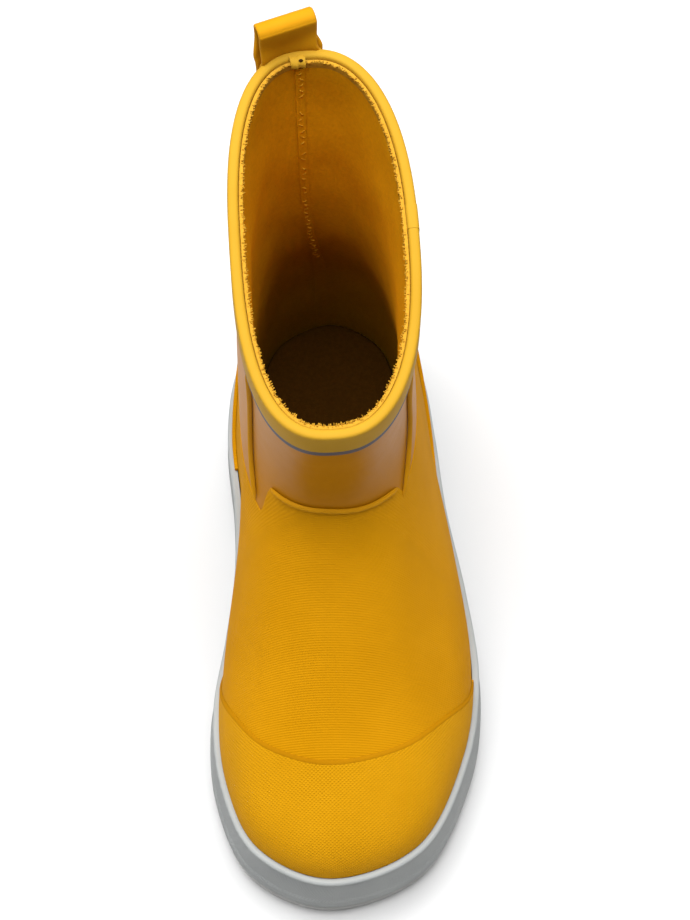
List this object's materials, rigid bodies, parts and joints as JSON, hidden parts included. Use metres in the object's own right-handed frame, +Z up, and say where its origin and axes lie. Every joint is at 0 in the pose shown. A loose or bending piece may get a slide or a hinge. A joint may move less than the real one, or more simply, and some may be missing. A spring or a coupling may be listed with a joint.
{
  "type": "deck boot",
  "caption": "Short pull-on rubber deck boot for a child's left foot, with a textile lining, a loose footbed, a pull loop behind the rim and a white-grey siped sole.",
  "frame": {"origin": "bottom centre of the whole boot's box, on the ground under the arch", "axes": "+Z up, -Y towards the toe, +Y towards the heel, +X towards the outer (little-toe) side of the left foot"},
  "size_m": [0.0806, 0.1925, 0.1859],
  "materials": {
    "sole_white": "matt white natural rubber, finely siped underneath",
    "foxing_grey": "matt grey-white rubber with a fine cloth grain",
    "bead_white": "smooth white rubber bead",
    "foot_yellow": "warm yellow rubber with a canvas grain, matt",
    "toe_yellow": "warm yellow rubber with a fine knurl, matt",
    "leg_yellow": "warm yellow rubber, smooth and half gloss",
    "trim_yellow": "light yellow rubber trim, smooth",
    "stripe_slate": "slate-blue rubber stripe",
    "lining_ochre": "ochre cotton lining, brushed, with a cut edge",
    "footbed_textile": "ochre textile cover",
    "footbed_foam": "soft grey foam",
    "board_tan": "stiff cellulose board",
    "stiffener_tan": "thermoplastic-filled cloth stiffener"
  },
  "bodies": {
    "boot": {"outsole": "sole_white", "foxing": "foxing_grey", "foxing_bead": "bead_white", "midsole_filler": "footbed_foam", "insole_board": "board_tan", "foot_shell": "foot_yellow", "leg_shaft": "leg_yellow", "toe_cap": "toe_yellow", "heel_counter": "foot_yellow", "back_stay": "leg_yellow", "instep_rib": "trim_yellow", "side_rib_outer": "trim_yellow", "side_rib_inner": "trim_yellow", "top_band": "trim_yellow", "pinstripe": "stripe_slate", "lining": "lining_ochre", "lining_seam_tape": "lining_ochre", "toe_puff": "stiffener_tan", "heel_stiffener": "stiffener_tan", "loop_anchor": "trim_yellow"},
    "loop": {"pull_loop": "trim_yellow"},
    "insole": {"footbed": "footbed_foam", "footbed_cover": "footbed_textile"}
  },
  "joints": [
    {"name": "pull_loop_bend", "type": "hinge", "parent": "boot", "child": "loop", "pos_m": [-0.01486, 0.09086, 0.17533], "axis": [-0.9396, -0.3423, 0], "range_deg": [-40, 90], "stiffness_Nm_per_rad": 0.004},
    {"name": "footbed_lift", "type": "hinge", "parent": "boot", "child": "insole", "pos_m": [0, -0.08745, 0.0114], "axis": [1, 0, 0], "range_deg": [0, 8]}
  ]
}
